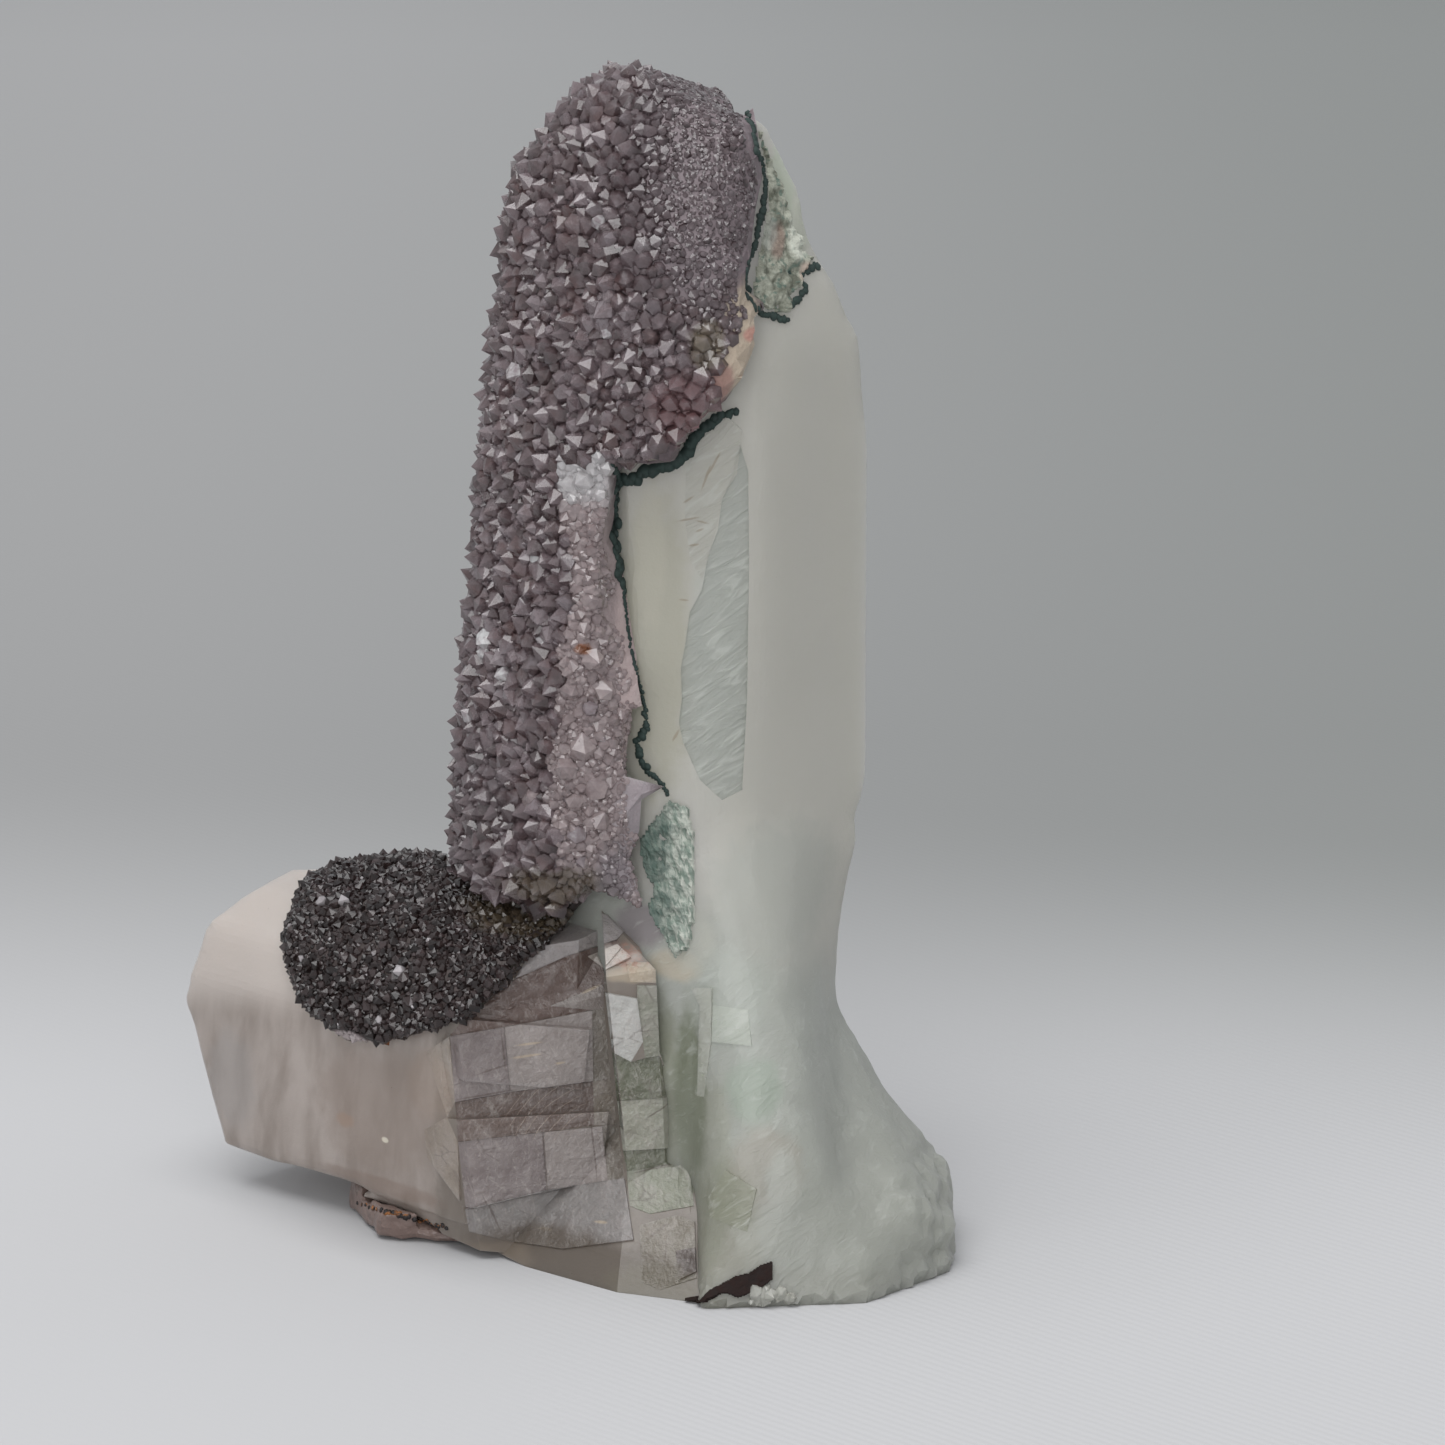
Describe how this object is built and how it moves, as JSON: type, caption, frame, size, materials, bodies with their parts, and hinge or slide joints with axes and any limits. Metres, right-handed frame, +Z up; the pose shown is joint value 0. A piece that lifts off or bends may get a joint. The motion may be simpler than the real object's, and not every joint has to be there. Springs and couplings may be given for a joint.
{
  "type": "amethyst druse",
  "caption": "Crust of small amethyst points grown over a tall pale green crystal and a shorter clear one, standing on its broken foot.",
  "frame": {"origin": "middle of the specimen's box in plan, on the surface it stands on", "axes": "+Z up along the tall crystal, +X to the right and -Y towards the viewer as the picture shows it"},
  "size_m": [0.0508, 0.0354, 0.0781],
  "materials": {
    "green_crystal": "frosted, translucent, pale green",
    "clear_crystal": "clear to milky, cleaved faces with a pearly shine",
    "druse_crust": "glassy purple-grey crystal points",
    "druse_cap": "glassy dark purple-brown crystal points",
    "druse_chip": "dull pink-grey chalcedony",
    "celadonite_rim": "dull, earthy, dark blue-green"
  },
  "bodies": {
    "root": {"green_crystal": "green_crystal", "clear_crystal": "clear_crystal", "druse_crust": "druse_crust", "druse_cap": "druse_cap", "druse_chip": "druse_chip", "celadonite_rim": "celadonite_rim"}
  },
  "joints": []
}
